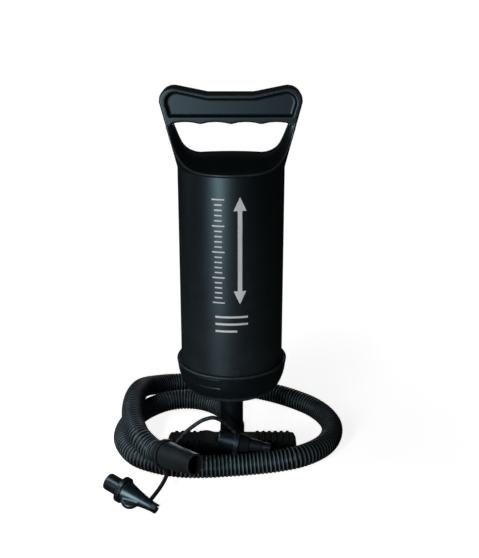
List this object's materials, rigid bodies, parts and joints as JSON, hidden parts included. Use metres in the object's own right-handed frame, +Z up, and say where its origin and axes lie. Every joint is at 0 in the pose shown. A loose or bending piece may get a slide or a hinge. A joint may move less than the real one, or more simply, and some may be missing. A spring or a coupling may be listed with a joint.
{
  "type": "double action hand pump",
  "caption": "Upright hand pump: a barrel with a moulded handle strokes on a fixed stem with a foot bar, and both strokes blow air through a ribbed hose.",
  "frame": {"origin": "middle of the base's underside, on the stem's axis", "axes": "+Z up along the stem, +X along the foot bar to the right as seen from the front, +Y to the rear, where the hose leaves"},
  "size_m": [0.1938, 0.2151, 0.3],
  "materials": {
    "black_shell": "moulded black plastic, satin",
    "soft_black": "soft moulded black plastic",
    "hose": "flexible black plastic with a faint gloss",
    "nozzle": "moulded black plastic, slightly glossy",
    "rubber": "moulded black rubber",
    "natural": "uncoloured bearing plastic",
    "grey": "moulded grey plastic",
    "steel": "zinc-plated steel"
  },
  "bodies": {
    "base": {"foot_base": "black_shell", "base_cover": "soft_black", "base_screws": "steel", "stem_tube": "black_shell", "air_tube": "grey", "air_manifold": "grey", "piston_lower": "soft_black", "piston_partition": "grey", "piston_upper": "soft_black", "piston_seal_lower": "rubber", "piston_seal_upper": "rubber", "piston_screws": "steel", "valve_posts": "natural", "hose": "hose", "pump_cuff": "soft_black", "free_cuff": "soft_black", "tether_ring": "soft_black", "tether_long": "soft_black", "tether_short": "soft_black", "nozzle_long": "nozzle", "nozzle_short": "nozzle"},
    "gland": {"stem_seal": "rubber"},
    "barrel": {"pump_barrel": "black_shell", "end_cap": "black_shell", "cap_gasket": "rubber", "guide_bush": "natural", "stop_bumper": "rubber", "seal_retainer": "soft_black"},
    "disc_intake_top": {"intake_disc_top": "rubber"},
    "disc_exhaust_top": {"exhaust_disc_top": "rubber"},
    "disc_exhaust_bottom": {"exhaust_disc_bottom": "rubber"},
    "disc_intake_bottom": {"intake_disc_bottom": "rubber"}
  },
  "joints": [
    {"name": "pump_stroke", "type": "slide", "parent": "base", "child": "gland", "axis": [0, 0, 1], "range_m": [0, 0.11]},
    {"name": "barrel_turn", "type": "hinge", "parent": "gland", "child": "barrel", "pos_m": [0, 0, 0.07], "axis": [0, 0, 1], "continuous": true},
    {"name": "intake_top_lift", "type": "slide", "parent": "base", "child": "disc_intake_top", "axis": [0, 0, 1], "range_m": [0, 0.001]},
    {"name": "exhaust_top_lift", "type": "slide", "parent": "base", "child": "disc_exhaust_top", "axis": [0, 0, 1], "range_m": [0, 0.001]},
    {"name": "exhaust_bottom_lift", "type": "slide", "parent": "base", "child": "disc_exhaust_bottom", "axis": [0, 0, 1], "range_m": [0, 0.001]},
    {"name": "intake_bottom_lift", "type": "slide", "parent": "base", "child": "disc_intake_bottom", "axis": [0, 0, 1], "range_m": [0, 0.001]}
  ]
}
